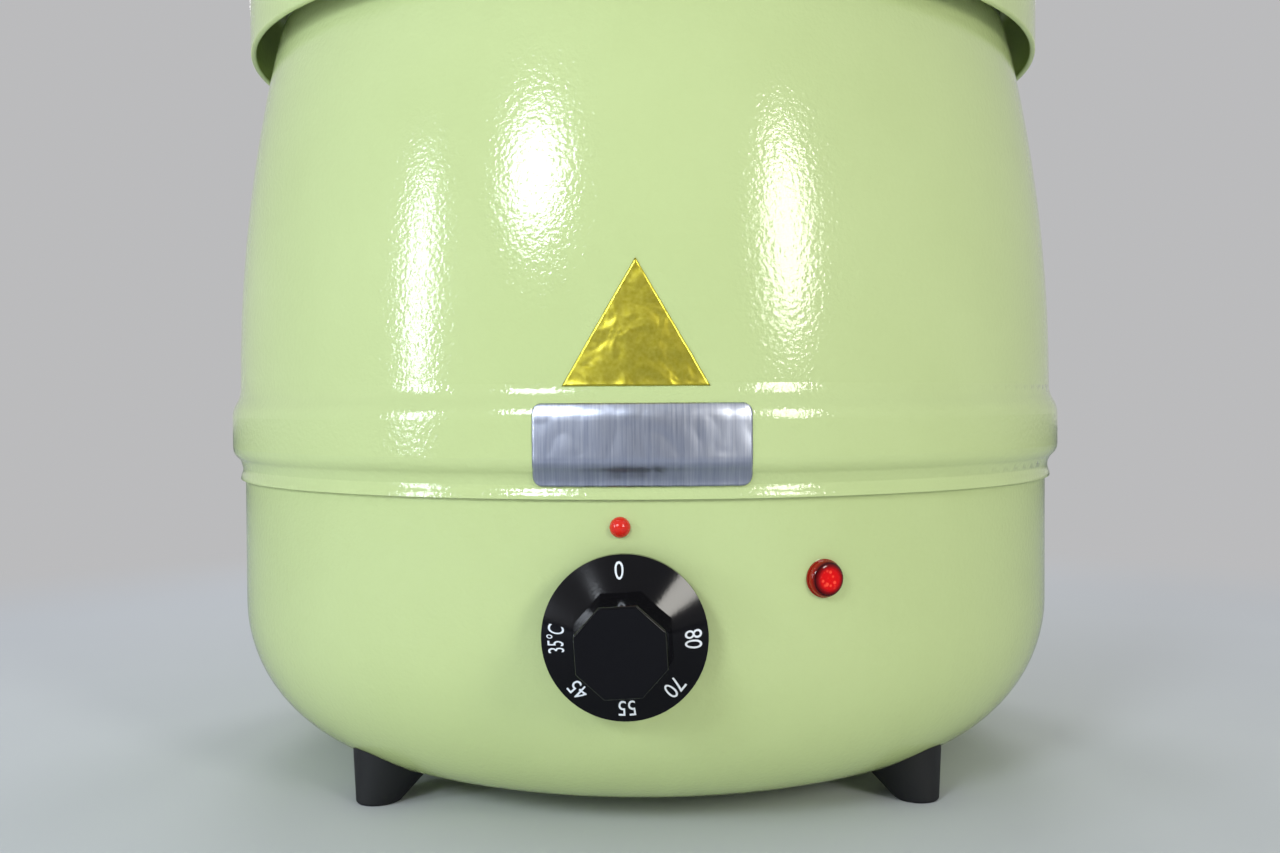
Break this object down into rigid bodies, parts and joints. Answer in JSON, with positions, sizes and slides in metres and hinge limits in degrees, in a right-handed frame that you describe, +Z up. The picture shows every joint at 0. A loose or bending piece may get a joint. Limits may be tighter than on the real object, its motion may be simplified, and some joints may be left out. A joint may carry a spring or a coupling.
{
  "type": "wet-heat soup kettle",
  "caption": "Round electric warming kettle: barrel casing with a belt on a bowl base with feet, hanging pot in a water well, loose collar with a hinged lid, control dial.",
  "frame": {"origin": "on the kettle's axis at the level of the feet's soles", "axes": "+Z up, -Y towards the front with the dial, +X to the right seen from the front"},
  "size_m": [0.34, 0.3873, 0.3521],
  "materials": {
    "green_coat": "glossy apple-green powder coat with orange peel",
    "stainless": "spun stainless steel",
    "zinc_steel": "zinc-plated steel",
    "black_rubber": "black rubber",
    "black_phenolic": "glossy black moulding",
    "black_nylon": "black nylon",
    "red_plastic": "glossy red plastic",
    "red_lens": "translucent red lens",
    "white_nylon": "white nylon",
    "incoloy": "heat-darkened steel tube",
    "copper": "copper tube",
    "aluminium": "mill-finish aluminium",
    "brass": "brass",
    "brown_sleeve": "silicone-sleeved wire",
    "blue_sleeve": "silicone-sleeved wire",
    "earth_sleeve": "silicone-sleeved wire"
  },
  "bodies": {
    "base": {"upper_shell": "green_coat", "lower_shell": "green_coat", "water_well": "stainless", "base_plate": "zinc_steel", "base_screws": "zinc_steel", "foot_screws": "zinc_steel", "foot_nuts": "zinc_steel", "spider_stud": "zinc_steel", "spider_nut": "zinc_steel", "cutout_studs": "zinc_steel", "cutout_nuts": "zinc_steel", "thermostat_plate": "zinc_steel", "thermostat_screws": "zinc_steel", "bulb_clips": "zinc_steel", "index_clip": "zinc_steel", "lamp_clip": "zinc_steel", "terminal_fixing_screws": "zinc_steel", "earth_stud": "zinc_steel", "earth_nut": "zinc_steel", "foot_front_left": "black_rubber", "foot_front_right": "black_rubber", "foot_rear_left": "black_rubber", "foot_rear_right": "black_rubber", "gland_seal": "black_rubber", "thermal_cutout": "black_phenolic", "gland_body": "black_nylon", "gland_locknut": "black_nylon", "gland_cap": "black_nylon", "index_stud": "red_plastic", "lamp_lens": "red_lens", "terminal_block": "white_nylon", "lamp_body": "white_nylon", "thermostat_body": "white_nylon", "heating_element": "incoloy", "sensor_bulb": "copper", "element_spider": "aluminium", "terminal_clamp_screws": "brass", "live_lead": "brown_sleeve", "switched_lead": "brown_sleeve", "heater_lead": "brown_sleeve", "neutral_lead": "blue_sleeve", "lamp_leads": "blue_sleeve", "earth_lead": "earth_sleeve"},
    "pot": {"inner_pot": "stainless"},
    "collar": {"collar": "green_coat", "collar_hinge_leaf": "stainless", "collar_rivets": "stainless", "hinge_pin": "stainless"},
    "lid": {"lid": "green_coat", "lid_hinge_leaf": "stainless", "lid_rivets": "stainless", "lid_knob": "black_phenolic", "lid_washer": "zinc_steel", "lid_knob_screw": "zinc_steel"},
    "dial": {"dial_knob": "black_phenolic", "dial_spindle": "zinc_steel", "knob_spring": "zinc_steel"}
  },
  "joints": [
    {"name": "pot_lift", "type": "slide", "parent": "base", "child": "pot", "axis": [0, 0, 1], "range_m": [0, 0.21]},
    {"name": "collar_lift", "type": "slide", "parent": "pot", "child": "collar", "axis": [0, 0, 1], "range_m": [0, 0.06]},
    {"name": "lid_hinge", "type": "hinge", "parent": "collar", "child": "lid", "pos_m": [0, 0.166, 0.3158], "axis": [-1, 0, 0], "range_deg": [0, 100]},
    {"name": "dial_turn", "type": "hinge", "parent": "base", "child": "dial", "pos_m": [-0.00663, -0.16517, 0.0723], "axis": [0.0401, 0.9992, 0], "range_deg": [0, 270]}
  ]
}
